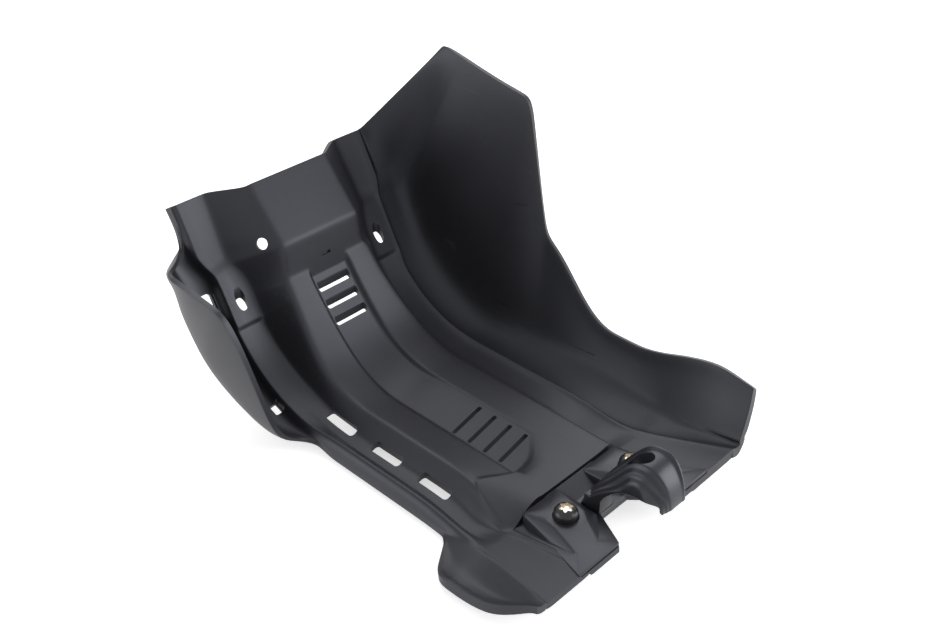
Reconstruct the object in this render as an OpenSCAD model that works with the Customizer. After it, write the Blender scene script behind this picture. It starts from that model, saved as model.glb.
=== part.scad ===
// Under-engine skid plate of an enduro motorcycle: one moulded tub with a tall right wing,
// a low left pocket wing, and a moulded hook bracket screwed to its rear edge.
// +X forward, +Y left, +Z up; x = 0 at the rear edge, y = 0 on the middle plane, z = 0 at the lowest face.

/* [Tub] */
// Wall thickness of the moulding
wall = 4; // [3:0.25:5]
// Height of the raised middle deck above the lowest face
deck_height = 21; // [18:0.5:26]
// Half width of the raised deck
deck_half = 47; // [42:0.5:50]
// Height of the side rail edges along the floor
rail_height = 14; // [12:0.5:17]
// Distance of the rail edges from the middle plane
rail_half = 78; // [74:0.5:84]
// Half width of the rear edge
rear_half = 100; // [94:1:106]
// Height of the rear edge
rear_height = 25; // [20:0.5:30]
// Distance from the rear edge where the rails start to bend up
bend_start = 222; // [210:1:234]
// Radius of the bend along the rails
bend_radius = 105; // [92:1:118]
// Slope of the rails in front of the bend, degrees
ramp_angle = 62; // [57:0.5:67]
// Straight length of the rails in front of the bend
ramp_length = 87; // [78:1:96]

/* [Middle] */
// Half width of the recessed strip
strip_half = 17; // [14:0.5:20]
// Depth of the recessed strip in the floor
strip_depth = 6.5; // [4:0.25:8]
// Radius of the tight bend of the deck
deck_radius = 75; // [65:1:85]
// Height of the steep face behind the front panel
face_height = 25; // [18:0.5:32]
// Slope of the front panel, degrees
panel_angle = 48; // [43:0.5:53]
// Length of the front panel
panel_length = 50; // [42:0.5:58]
// Half width of the front panel
panel_half = 36; // [31:0.5:40]

/* [Right wing] */
// Distance of the wing foot from the middle plane
foot_half = 111; // [106:0.5:116]
// Height of the wing peak
peak_height = 218; // [195:1:240]
// Height of the wing shoulder at the top of its rear edge
shoulder_height = 198; // [175:1:215]
// Height of the low sill behind the tall part
sill_height = 43; // [36:0.5:52]
// Height of the flare at the rear
tail_height = 60; // [50:0.5:70]
// Sideways lean of the wing peak beyond the wing foot
peak_lean = 20; // [14:0.5:26]

/* [Left side] */
// Height of the rim of the low pocket wing
pocket_height = 114; // [100:1:128]
// Sideways reach of the pocket rim
pocket_half = 116; // [112:0.5:121]
// Sideways reach of the small rear ear
ear_half = 113; // [108:0.5:118]
// Depth of the skirt below the left rail edge
skirt_depth = 12; // [9:0.5:14]

/* [Openings] */
// Width of the two mounting slots
slot_width = 8.5; // [7:0.25:10]
// Length of the two mounting slots
slot_length = 15; // [12:0.5:19]
// Distance of the mounting slots from the middle plane
slot_half = 66.5; // [64:0.5:69]
// Diameter of the round hole in the left sloped wall
round_bore = 9; // [7:0.25:11]
// Length of the three side slots
side_slot = 31; // [22:0.5:36]
// Width of the side slots
side_slot_width = 9.5; // [7:0.25:11]
// Distance from one side slot to the next
side_slot_pitch = 46.5; // [40:0.5:50]
// Length of the window in the bottom of the pocket
window_length = 26; // [18:0.5:30]
// Width of the window in the bottom of the pocket
window_width = 14; // [10:0.5:16]
// Length of the small drain behind the window
drain_length = 11; // [7:0.5:14]
// Width of the four floor vents
vent_width = 3.75; // [3:0.25:5.5]
// Width of the three front vents, seen from above
front_vent = 4.5; // [3.5:0.25:6]

/* [Hook bracket] */
// Half width of the bracket base at its front
base_half = 55; // [50:0.5:58]
// Distance of the screws from the middle plane
screw_half = 33; // [30:0.5:36]
// Diameter of the screw heads
head_diameter = 16; // [13:0.5:18]
// Width of the hook
hook_width = 28; // [22:0.5:32]
// Height of the top of the hook
hook_height = 72; // [64:0.5:80]
// Sideways offset of the hook from the middle plane
hook_offset = -3; // [-6:0.5:3]

/* [Hidden] */
$fn = 24;
black = [0.13, 0.135, 0.15];

flap_front = 66;
flap_rise = rear_height - (rail_height - 3);
flap_angle = atan(flap_rise / flap_front);
seat_front = 63;
seat_depth = 2.5;
arc_length = bend_radius * ramp_angle * PI / 180;
rail_length = bend_start + arc_length + ramp_length;
pad_low = bend_start + arc_length - 17;
pad_high = pad_low + 48;
face_at = pad_low + 24;
fold_at = face_at + 26;
pocket_front = bend_start + arc_length + 55;
gentle_radius = 250;
first_turn = 45;
deck_slope = 55;
deck_bend = bend_start - 12;
bend_run = deck_radius * first_turn * PI / 180;
gentle_run = gentle_radius * (deck_slope - first_turn) * PI / 180;
deck_run = bend_run + gentle_run + 15;
slot_at = bend_start + arc_length + 7;
first_side_slot = 134.5;
side_slot_half = 56.8;
seat_gap = 0.3;
notch_depth = 28;
notch_inner = 14;
notch_outer = 36;
screw_x = 38.5;
screw_size = 6;
pad_top = 29;
tube_radius = 26;
tube_height = 22;
tip_height = 43;
tip_inner = -12.5;
head_sphere = 9.8;

function ease(t) = let(c = max(0, min(1, t))) c * c * (3 - 2 * c);
function ramp(x, a, b) = ease((x - a) / (b - a));
function line(x, a, b) = max(0, min(1, (x - a) / (b - a)));
function mix(a, b, t) = a + (b - a) * t;

// Rail edge: [x, z, slope] at the developed length s from the rear edge
function rail_level(s) = s > 128 ? rail_height
    : mix(rail_height, rail_height - 4, ramp(s, 128, 84)) + flap_climb(s);
function flap_climb(s) = (flap_rise + 1) * line(s, flap_front + 10, 0);
function rail(s) = s < bend_start ? [s, rail_level(s), 0]
    : s < bend_start + arc_length
    ? let(a = (s - bend_start) / bend_radius * 180 / PI)
      [bend_start + bend_radius * sin(a), rail_height + bend_radius * (1 - cos(a)), a]
    : let(d = s - bend_start - arc_length)
      [bend_start + bend_radius * sin(ramp_angle) + d * cos(ramp_angle),
       rail_height + bend_radius * (1 - cos(ramp_angle)) + d * sin(ramp_angle), ramp_angle];
function off_rail(s, y, n) = let(p = rail(s)) [p[0] - n * sin(p[2]), y, p[1] + n * cos(p[2])];

// Middle of the tub: floor, tight bend, gentle bend, steep face, front panel
function bent(d) = d < bend_run
    ? let(a = d / deck_radius * 180 / PI)
      [deck_bend + deck_radius * sin(a), deck_height + deck_radius * (1 - cos(a)), a]
    : d < bend_run + gentle_run
    ? let(a = first_turn + (d - bend_run) / gentle_radius * 180 / PI)
      [deck_bend + deck_radius * sin(first_turn) + gentle_radius * (sin(a) - sin(first_turn)),
       deck_height + deck_radius * (1 - cos(first_turn)) + gentle_radius * (cos(first_turn) - cos(a)), a]
    : let(e = d - bend_run - gentle_run, q = bent(bend_run + gentle_run - 0.001))
      [q[0] + e * cos(deck_slope), q[1] + e * sin(deck_slope), deck_slope];
function seat(x) = flap_level(x) - seat_depth;
function flap_level(x) = rail_height - 3 + max(0, flap_front - x) * tan(flap_angle);
function middle(s) = s < deck_bend
    ? [s, mix(flap_level(s), deck_height, ramp(s, flap_front, flap_front + 10)), 0]
    : s < face_at ? bent((s - deck_bend) / (face_at - deck_bend) * deck_run)
    : let(top = bent(deck_run), t = line(s, face_at, fold_at), fold = [top[0] + 4, top[1] + face_height])
      s < fold_at
      ? [mix(top[0], fold[0], t), mix(top[1], fold[1], t), mix(deck_slope, 72, line(t, 0, 0.2))]
      : let(d = (s - fold_at) / (rail_length - fold_at) * panel_length)
        [fold[0] + d * cos(panel_angle), fold[1] + d * sin(panel_angle), panel_angle];
function off_middle(s, y, n) = let(p = middle(s)) [p[0] - n * sin(p[2]), y, p[1] + n * cos(p[2])];

function strip(s) = s > face_at ? 0
    : mix(strip_depth, 3, ramp(s, deck_bend, deck_bend + 60)) * line(s, 92, 104);
function deck_edge(s) = s < face_at
    ? mix(deck_half, panel_half + 4, ramp(s, deck_bend + 40, face_at))
    : panel_half;
function rail_edge(s) = s < 84 ? mix(rear_half, rail_half + 1, ramp(s, -40, 84))
    : rail_half + mix(1, 0, line(s, 84, 120)) + 7 * ramp(s, pad_high - 4, pad_high + 18);
function deck_step(s) = ramp(s, flap_front, flap_front + 10);
function rail_foot(s) = 54.5 + 2 * ramp(s, bend_start, face_at)
    + 10.5 * ramp(s, pad_high - 14, pad_high + 16) * (1 - 0.65 * ramp(s, pad_high + 19, rail_length));
function wall_at(s) = mix(wall + seat_depth, wall, ramp(s, flap_front - 4, flap_front + 14));
function rail_flat(s) = let(ramped = mix(-4, -1.6, ramp(s, bend_start - 12, bend_start + 30)),
    pad = mix(0.3, -2.2, line(s, pad_high, pad_high + 8)))
    mix(-1, mix(ramped, pad, line(s, pad_low, pad_low + 2.5)), ramp(s, 60, 84));

// Cross-section from the middle outwards on one side, at the developed length s
function half_middle(s, side) = let(e = deck_edge(s), f = rail_foot(s), r = rail_edge(s), n = rail_flat(s))
    [off_middle(s, side * (strip_half - 1), -strip(s)),
     off_middle(s, side * (strip_half + 3.2), 0),
     off_middle(s, side * (e - 3), 0),
     off_middle(s, side * (e + 0.5), -1.4 * deck_step(s)),
     mix(off_middle(s, side * (e + 0.5), -1.4 * deck_step(s)),
         off_rail(s, side * (f - 0.8), n + 2 * deck_step(s)), 0.5),
     off_rail(s, side * (f - 0.8), n + 2 * deck_step(s)),
     off_rail(s, side * (f + 1.5), n),
     off_rail(s, side * (r - 8), n),
     off_rail(s, side * (r - 5), -0.6),
     off_rail(s, side * r, -0.4)];

// Tall right wing: foot line, top outline and the ruled surface between them
function foot_line(s) = off_rail(s, -mix(rear_half + 2, foot_half, ramp(s, 0, 90)),
    mix(0, mix(-2, -8, ramp(s, bend_start + 60, fold_at)), ramp(s, 30, 110)));
function wing_top_z(s) = sill_height
    + (tail_height - sill_height) * ramp(s, 100, 26) - 4 * line(s, 26, 0)
    + (shoulder_height - sill_height) * (0.34 * ramp(s, bend_start - 96, bend_start - 26)
        + 0.66 * ramp(s, bend_start - 32, bend_start + 16))
    + (peak_height - shoulder_height) * ramp(s, bend_start, face_at + 8) - 5 * ramp(s, face_at, rail_length);
function wing_top_x(s) = let(foot = bend_start - 32, shoulder = bend_start + 14)
    s < foot ? s + 7 : s < shoulder ? mix(foot + 7, bend_start - 1, ramp(s, foot - 4, shoulder + 4))
    : mix(bend_start - 1, bend_start + 88, pow(line(s, shoulder, rail_length), 0.8));
function wing_top(s) = let(lean = mix(13, peak_lean, ramp(s, bend_start - 102, bend_start + 13)))
    [wing_top_x(s), -(foot_half + lean), wing_top_z(s)];
function right_side(s) = let(g = ramp(s, pocket_front, rail_length),
        r = rail_edge(s), foot = foot_line(s), top = wing_top(s),
        dip = -mix(2, min(10, rail(s)[1] - wall_at(s) - 1.2), ramp(s, 20, 90)), edge = off_rail(s, -r, -0.4),
        along = [0.03, 0.09, 0.15, 0.22, 0.4, 0.6, 0.8, 1],
        cut = [off_rail(s, -(r + 3.5), dip), off_rail(s, -(r + 7), dip - 1),
               off_rail(s, -(foot_half - 6) * min(1, (r + 24) / foot_half), dip + 0.5), foot,
               mix(foot, top, 0.22) + [0, -1.5, 0], mix(foot, top, 0.48) + [0, -2, 0],
               mix(foot, top, 0.75) + [0, -1.5, 0], top])
    [for (k = [0:7]) mix(cut[k], mix(edge, top, along[k]), g)];

// Left side: skirt under the rail edge, small rear ear, and the low pocket wing
function ear_edge(s) = mix(rear_half + 4, ear_half, ramp(s, 0, 34));
function hang(s) = min(rail(s)[1] - 2.85,
    skirt_depth - (skirt_depth - 7) * ramp(s, bend_start - 20, bend_start + 4));
function pocket_open(s) = ramp(s, bend_start + 1, bend_start + 26)
    * (1 - line(s, pocket_front - 1, pocket_front + 7));
function pocket_rim(s) = let(corner = [bend_start + 101, pocket_half, pocket_height + 4])
    s > pocket_front - 8
    ? mix(corner, off_rail(s, rail_edge(s) + 6, 1 - hang(s)), line(s, pocket_front - 8, pocket_front + 1))
    : [min(s, mix(bend_start + 13, bend_start + 101, pow(line(s, bend_start + 10, pocket_front - 8), 1.5))),
       mix(rail_half + 5, pocket_half, pow(line(s, bend_start + 2, bend_start + 86), 0.5)),
       mix(rail_height - 7, pocket_height, ramp(s, bend_start + 10, bend_start + 90))
       + 4 * line(s, bend_start + 90, pocket_front - 8)];
function left_side(s) = let(r = rail_edge(s), open = pocket_open(s), ear = ramp(s, 100, 70),
        rim = pocket_rim(s), span = rim[1] - r, reach = ear_edge(s) - r, wide = line(span, 8, 32), in = r + 2.6,
        low = -mix(hang(s) + 1, 10.5, wide),
        heel = off_rail(s, mix(in, rim[1], 0.76), low + 5 * wide),
        skirt = [for (k = [1:8]) off_rail(s, r + 1.6 + 0.3 * k, -mix(4, hang(s), pow((k - 1) / 7, 0.6)))],
        cup = [off_rail(s, r + 1.9, -4), off_rail(s, in, low + 2.5), off_rail(s, mix(in, rim[1], 0.14), low),
               off_rail(s, mix(in, rim[1], 0.46), low), heel, mix(heel, rim, 0.3) + [0, 0.05 * span * wide, 0],
               mix(heel, rim, 0.65) + [0, 0.05 * span * wide, 0], rim],
        flare = [for (k = [1:8]) let(t = k / 8) off_rail(s, mix(r, ear_edge(s), t),
            min(min(8, 0.36 * reach), rail(s)[1] - wall_at(s) - 1) * line(s, -4, 18)
            * (-sin(min(1, t * 2) * 90) + 0.4 * ease(t * 2 - 1)) + 3 * t * line(s, 40, 0))])
    [for (k = [0:7]) mix(mix(skirt[k], flare[k], ear), cup[k], open)];

// The wall is thinner where the pocket grows out of the skirt and where it closes at the front
function pinch(s, j) = j > 8 ? 1 : 1 - 0.55 * min(1, max(0, 1.6 - abs(s - bend_start - 3) / 15))
    - 0.6 * min(1, max(0, 1.8 - abs(s - pocket_front - 3) / 8)) - 0.35 * ramp(s, 24, 4);
function reversed(v) = [for (k = [len(v) - 1:-1:0]) v[k]];
function section(s) = concat(reversed(left_side(s)), reversed(half_middle(s, 1)),
    [off_middle(s, 0, -strip(s))], half_middle(s, -1), right_side(s));

stations = concat([0, 8, 18, 28, 40, 52, 60, flap_front, 69, 72.5, 76, 84, 92, 98, 104, 114],
    [126, 138, 150, 162, 174, 184, 192, 199, 206],
    [for (k = [0:12]) mix(deck_bend + 3, pad_low - 6, k / 12)],
    [pad_low, pad_low + 2.5, pad_low + 12, face_at, face_at + 4, face_at + 12, face_at + 20, fold_at],
    [for (k = [-14, -8, -5, -2, 1, 4, 8, 15]) pocket_front + k], [rail_length - 9, rail_length]);

rows = [for (s = stations) section(s)];
bore_low = off_middle(fold_at + 8, panel_half, 0);
bore_high = off_rail(fold_at + 8, rail_foot(fold_at + 8), -2);
bore_point = mix(bore_low, bore_high, 0.28);
bore_way = unit(cross(bore_high - bore_low, [0.57, 0, 0.82]));
row_count = len(rows);
column_count = len(rows[0]);
function unit(v) = v / max(0.0001, norm(v));
function at(i, j) = rows[max(0, min(row_count - 1, i))][max(0, min(column_count - 1, j))];
function inward(i, j) = j > 7 ? facing(i, j)
    : unit(facing(i, j) + 0.5 * facing(i - 1, j) + 0.5 * facing(i + 1, j));
function facing(r, j) = let(i = max(0, min(row_count - 1, r)),
        ahead = i < row_count - 1 ? 1 : 0, behind = i > 0 ? 1 : 0,
        beyond = j < column_count - 1 ? 1 : 0, before = j > 0 ? 1 : 0,
        to_next = unit(at(i + 1, j) - at(i, j)), from_last = unit(at(i, j) - at(i - 1, j)),
        out = unit(at(i, j + 1) - at(i, j)), back = unit(at(i, j) - at(i, j - 1)))
    unit(unit(cross(out, to_next)) * ahead * beyond + unit(cross(back, to_next)) * ahead * before
        + unit(cross(out, from_last)) * behind * beyond + unit(cross(back, from_last)) * behind * before);

module shell() {
    top = [for (i = [0:row_count - 1]) for (j = [0:column_count - 1]) at(i, j)];
    under = [for (i = [0:row_count - 1]) for (j = [0:column_count - 1])
        at(i, j) - wall_at(stations[i]) * pinch(stations[i], j) * inward(i, j)];
    m = column_count;
    b = row_count * column_count;
    faces = concat(
        [for (i = [0:row_count - 2]) for (j = [0:m - 2]) each [
            [i * m + j, (i + 1) * m + j + 1, i * m + j + 1], [i * m + j, (i + 1) * m + j, (i + 1) * m + j + 1],
            [b + i * m + j, b + i * m + j + 1, b + (i + 1) * m + j + 1],
            [b + i * m + j, b + (i + 1) * m + j + 1, b + (i + 1) * m + j]]],
        [for (j = [0:m - 2]) each [[j, j + 1, b + j + 1], [j, b + j + 1, b + j],
            let(e = (row_count - 1) * m) [e + j, b + e + j + 1, e + j + 1],
            let(e = (row_count - 1) * m) [e + j, b + e + j, b + e + j + 1]]],
        [for (i = [0:row_count - 2]) each [[i * m, b + (i + 1) * m, (i + 1) * m],
            [i * m, b + i * m, b + (i + 1) * m],
            let(e = m - 1) [i * m + e, (i + 1) * m + e, b + (i + 1) * m + e],
            let(e = m - 1) [i * m + e, b + (i + 1) * m + e, b + i * m + e]]]);
    polyhedron(points = concat(top, under), faces = faces, convexity = 10);
}

// Placing cutters on the two side profiles, and the cutters
module on_rail(s, y) {
    translate(off_rail(s, y, 0)) rotate([0, -rail(s)[2], 0]) children();
}
module along(n) {
    rotate(acos(n[2]), cross([0, 0, 1], n)) children();
}
module oblong(length, width, depth) {
    hull() for (k = [-1, 1]) translate([k * (length - width) / 2, 0, -depth / 2])
        cylinder(d = width, h = depth);
}
module notch() {
    translate([0, hook_offset, -1]) linear_extrude(hook_height)
        hull() {
            translate([notch_depth - 6, 0]) square([12, 2 * notch_inner], center = true);
            translate([-6, 0]) square([4, 2 * notch_outer], center = true);
        }
}
module plate_cuts() {
    for (side = [-1, 1]) on_rail(slot_at, side * slot_half) oblong(slot_length, slot_width, 30);
    translate(bore_point) along(bore_way) translate([0, 0, -9]) cylinder(d = round_bore, h = 18);
    for (k = [0:2]) let(q = bent(deck_run - 15 - 14 * k)) translate([q[0] + 2.5, 0, q[1] - 5])
        cube([front_vent, 2 * strip_half - 4, 40], center = true);
    for (k = [0:3]) translate([112.5 + 14.6 * k, 0, deck_height - strip_depth])
        cube([vent_width, 2 * strip_half - 3, 16], center = true);
    for (k = [0:2]) translate([first_side_slot + side_slot_pitch * k, side_slot_half, rail_height - 5])
        oblong(side_slot, side_slot_width, 24);
    on_rail(pocket_front - 32, rail_half + 15) oblong(window_length, window_width, 50);
    on_rail(bend_start + 43, rail_half + 8) translate([0, 0, -10]) cube([drain_length, 6, 30], center = true);
    notch();
    on_flap() linear_extrude(12) base_outline(seat_gap);
    for (side = [-1, 1]) translate([screw_x, side * screw_half, -1]) cylinder(d = screw_size, h = 30);
}
module skid_plate() {
    color(black) difference() {
        union() {
            shell();
            for (side = [-1, 1]) translate([screw_x, side * screw_half, 2])
                cylinder(d = 14, h = seat(screw_x) - 3);
        }
        plate_cuts();
    }
}

// Hook bracket: slab in the seat, two screw pads, and the hook with its tube seat
module on_flap() {
    translate([flap_front, 0, seat(flap_front)]) rotate([0, flap_angle, 0]) children();
}
module base_outline(extra) {
    front = (seat_front - flap_front) / cos(flap_angle) + extra;
    rear = -flap_front / cos(flap_angle) - 20 * extra;
    polygon([[front, base_half + extra], [rear, base_half + 10 + extra],
        [rear, -base_half - 10 - extra], [front, -base_half - extra]]);
}
module screw_pad() {
    hull() {
        translate([screw_x, screw_half, seat(screw_x) + 1.5])
            cylinder(r = 13, h = pad_top - seat(screw_x) - 1.5);
        translate([57, screw_half + 12, seat(57) + 1.5]) cylinder(r = 3.5, h = deck_height - seat(57));
        translate([58, screw_half - 18, seat(58) + 1.5]) cylinder(r = 3, h = deck_height - seat(58) - 1);
        translate([12, screw_half + 10, seat(12) + 1.5]) cylinder(r = 12, h = seat_depth - 2);
        translate([30, screw_half - 16, seat(30) + 1.5]) cylinder(r = 3, h = seat_depth + 3);
    }
}
module hook_side() {
    difference() {
        hull() {
            translate([5, hook_height - 18]) circle(18, $fn = 48);
            translate([36, 30]) circle(8, $fn = 36);
            translate([-17.5, tip_height]) square([6, 4]);
        }
        translate([2, tube_height]) circle(tube_radius, $fn = 60);
        translate([tip_inner, 0]) square([14, tip_height + 5.5]);
        translate([-40, 0]) square([30, tip_height]);
        translate([0, -10]) square([notch_depth, 34]);
    }
}
module hook() {
    intersection() {
        translate([0, hook_offset, 0]) rotate([90, 0, 0]) linear_extrude(hook_width, center = true) hook_side();
        translate([-30, hook_offset, 0]) rotate([90, 0, 90]) linear_extrude(90)
            polygon([[-hook_width / 2, 0], [-hook_width / 2, hook_height - 8],
                [-hook_width / 2 + 3, hook_height],
                [hook_width / 2 - 8, hook_height], [hook_width / 2, hook_height - 20], [hook_width / 2, 0]]);
        translate([0, hook_offset, 0]) linear_extrude(100)
            polygon([[-25, -9], [-8, -hook_width / 2], [60, -hook_width / 2],
                [60, hook_width / 2], [-8, hook_width / 2 - 1], [-25, 9]]);
    }
}
module rear_hook() {
    color(black) difference() {
        union() {
            difference() {
                union() {
                    on_flap() linear_extrude(seat_depth) base_outline(0);
                    screw_pad();
                    mirror([0, 1, 0]) screw_pad();
                }
                notch();
            }
            hook();
            translate([notch_depth + 7, hook_offset, seat(notch_depth + 7) + 1.5])
                linear_extrude(14) square([13, hook_width - 4], center = true);
        }
        on_flap() translate([-90, -90, -40]) cube([180, 180, 40]);
        translate([8, hook_offset, hook_height - 14]) rotate([0, 12, 0]) oblong(22, 12, 44);
        for (side = [-1, 1]) translate([screw_x, side * screw_half, 0]) {
            cylinder(d = screw_size + 0.6, h = 50);
            translate([0, 0, pad_top - 1]) cylinder(d = head_diameter + 2, h = 12);
        }
    }
}

module screw(side) {
    color([0.08, 0.08, 0.09]) translate([screw_x, side * screw_half, pad_top - 1]) difference() {
        union() {
            rotate_extrude($fn = 48) intersection() {
                translate([0, -head_sphere + 5.2]) circle(head_sphere, $fn = 96);
                square([head_diameter / 2, 6]);
            }
            translate([0, 0, -18]) cylinder(d = screw_size, h = 18.5);
        }
        translate([0, 0, 2.2]) {
            cylinder(d = 5, h = 6);
            for (k = [0:5]) rotate(k * 60) translate([2.4, 0, 0]) cylinder(d = 1.7, h = 6);
        }
    }
}

skid_plate();
rear_hook();
screw(1);  // screw_left
screw(-1);  // screw_right
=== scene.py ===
import math

import bmesh
import bpy
from mathutils import Matrix, Vector


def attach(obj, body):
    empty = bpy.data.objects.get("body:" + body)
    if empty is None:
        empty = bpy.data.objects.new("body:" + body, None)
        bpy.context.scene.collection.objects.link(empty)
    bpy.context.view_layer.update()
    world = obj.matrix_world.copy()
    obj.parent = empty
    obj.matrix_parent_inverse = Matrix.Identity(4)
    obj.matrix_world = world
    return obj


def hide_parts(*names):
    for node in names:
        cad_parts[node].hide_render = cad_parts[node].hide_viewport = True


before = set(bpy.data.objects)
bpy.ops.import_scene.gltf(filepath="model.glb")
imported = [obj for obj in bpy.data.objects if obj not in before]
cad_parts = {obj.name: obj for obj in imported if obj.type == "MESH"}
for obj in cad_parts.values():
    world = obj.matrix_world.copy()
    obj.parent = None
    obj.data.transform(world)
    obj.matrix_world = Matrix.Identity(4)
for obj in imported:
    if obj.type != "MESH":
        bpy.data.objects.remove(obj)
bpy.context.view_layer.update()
scene = bpy.context.scene
mm = 0.001


# small helpers
def mix(a, b, t):
    return a + (b - a) * t


def line(x, a, b):
    return max(0.0, min(1.0, (x - a) / (b - a)))


def ramp(x, a, b):
    t = line(x, a, b)
    return t * t * (3 - 2 * t)


def bump(x, low, high, soft):
    return ramp(x, low, low + soft) * ramp(x, high, high - soft)


def turned(degrees, axis):
    return Matrix.Rotation(math.radians(degrees), 4, axis)


def facing(way):
    return Vector(way).to_track_quat("-Z", "Y").to_euler()


def standing(way):
    return way.to_track_quat("Z", "X").to_matrix().to_4x4()


def addObject(name, content):
    thing = bpy.data.objects.new(name, content)
    scene.collection.objects.link(thing)
    return thing


def toMesh(name, bm):
    mesh = bpy.data.meshes.new(name)
    bm.to_mesh(mesh)
    bm.free()
    return mesh


def meshObject(name, bm):
    return addObject(name, toMesh(name, bm))


def bake(thing):
    # applies the modifiers and returns the object with its finished mesh
    graph = bpy.context.evaluated_depsgraph_get()
    made = bpy.data.meshes.new_from_object(thing.evaluated_get(graph))
    thing.modifiers.clear()
    thing.data = made
    return thing


def subdivided(thing):
    rounded = thing.modifiers.new("rounded", "SUBSURF")
    rounded.levels = rounded.render_levels = 2
    bpy.context.view_layer.update()
    return bake(thing)


def combine(thing, other, operation):
    cut = thing.modifiers.new("join", "BOOLEAN")
    cut.operation = operation
    cut.solver = "MANIFOLD"
    cut.object = other
    bpy.context.view_layer.update()
    bake(thing)
    bpy.data.objects.remove(other)
    return thing


def cutAway(thing, name, bm):
    return combine(thing, meshObject(name, bm), "DIFFERENCE")


def unite(thing, name, bm):
    return combine(thing, meshObject(name, bm), "UNION")


def dropCrumbs(thing):
    # takes away the small loose bits that a union leaves inside a solid
    bm = bmesh.new()
    bm.from_mesh(thing.data)
    left, islands = set(bm.faces), []
    while left:
        island, front = [], [left.pop()]
        while front:
            face = front.pop()
            island.append(face)
            near = {f for e in face.edges for f in e.link_faces} & left
            left -= near
            front += near
        islands.append(island)
    biggest = max(islands, key=len)
    crumbs = [f for island in islands if island is not biggest for f in island]
    bmesh.ops.delete(bm, geom=crumbs, context="FACES")
    bm.to_mesh(thing.data)
    bm.free()


def smoothShade(thing, degrees):
    thing.data.shade_smooth()
    thing.data.set_sharp_from_angle(angle=math.radians(degrees))


def place(bm, matrix):
    # moves a shape in millimetres to its place and scales it to metres
    bmesh.ops.transform(bm, matrix=matrix, verts=bm.verts)
    bmesh.ops.scale(bm, vec=(mm, mm, mm), verts=bm.verts)
    return bm


def joined(parts):
    bm = bmesh.new()
    for part in parts:
        mesh = toMesh("part", part)
        bm.from_mesh(mesh)
        bpy.data.meshes.remove(mesh)
    return bm


def finished(bm):
    # closes the open ends and turns every face outwards
    bmesh.ops.holes_fill(bm, edges=[e for e in bm.edges if e.is_boundary])
    bmesh.ops.recalc_face_normals(bm, faces=bm.faces)
    return bm


def rounding(bm, width, angle=30, segments=2):
    # rounds the edges that turn by more than the angle
    edges = [e for e in bm.edges if len(e.link_faces) == 2 and e.calc_face_angle() > math.radians(angle)]
    bmesh.ops.bevel(bm, geom=edges, offset=width, affect="EDGES", segments=segments, profile=0.5, material=-1)
    return bm


# camera, floor and light
photoView = {"place": (-0.30604, 0.4749, 0.55101), "look": (0.574623, -0.599384, -0.557268),
             "lens": 45.822, "sensor": 36.0, "nearest": 0.02}
studio = {
    "floorSize": 6.0, "floorPlace": (0.17, 0.0, -0.0005), "floorDark": 0.84, "floorLight": 0.88,
    "lift": 0.62, "world": 0.55, "shown": 0.90, "aim": (0.18, 0.0, 0.05),
    "lamps": {  # power, size and place
        "topSoftbox": (9.0, 1.4, (0.95, -0.80, 1.15)),
        "sideSoftbox": (17.0, 1.2, (-0.95, -0.95, 0.60)),
        "fillSoftbox": (7.0, 1.0, (1.05, 1.45, 0.40)),
    },
}


def addCamera():
    data = bpy.data.cameras.new("photoCamera")
    data.lens = photoView["lens"]
    data.sensor_width = photoView["sensor"]
    data.clip_start = photoView["nearest"]
    camera = addObject("photoCamera", data)
    camera.location = photoView["place"]
    camera.rotation_euler = facing(photoView["look"])
    scene.camera = camera


def addLamps():
    for name, (power, size, spot) in studio["lamps"].items():
        data = bpy.data.lights.new(name, "AREA")
        data.shape = "DISK"
        data.size = size
        data.energy = power
        lamp = addObject(name, data)
        lamp.location = spot
        lamp.rotation_euler = facing(Vector(studio["aim"]) - Vector(spot))


# shader maths: a socket that adds Math nodes when it is used in an expression
class Socket:
    def __init__(self, finish, link):
        self.finish, self.link = finish, link

    def maths(self, operation, first, second):
        return self.finish.node("ShaderNodeMath", {"operation": operation}, {0: first, 1: second})

    def __add__(self, other):
        return self.maths("ADD", self, other)

    def __radd__(self, other):
        return self.maths("ADD", other, self)

    def __sub__(self, other):
        return self.maths("SUBTRACT", self, other)

    def __rsub__(self, other):
        return self.maths("SUBTRACT", other, self)

    def __mul__(self, other):
        return self.maths("MULTIPLY", self, other)

    def __rmul__(self, other):
        return self.maths("MULTIPLY", other, self)

    def clamp(self):
        return self.finish.node("ShaderNodeClamp", {}, {"Value": self})


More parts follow.
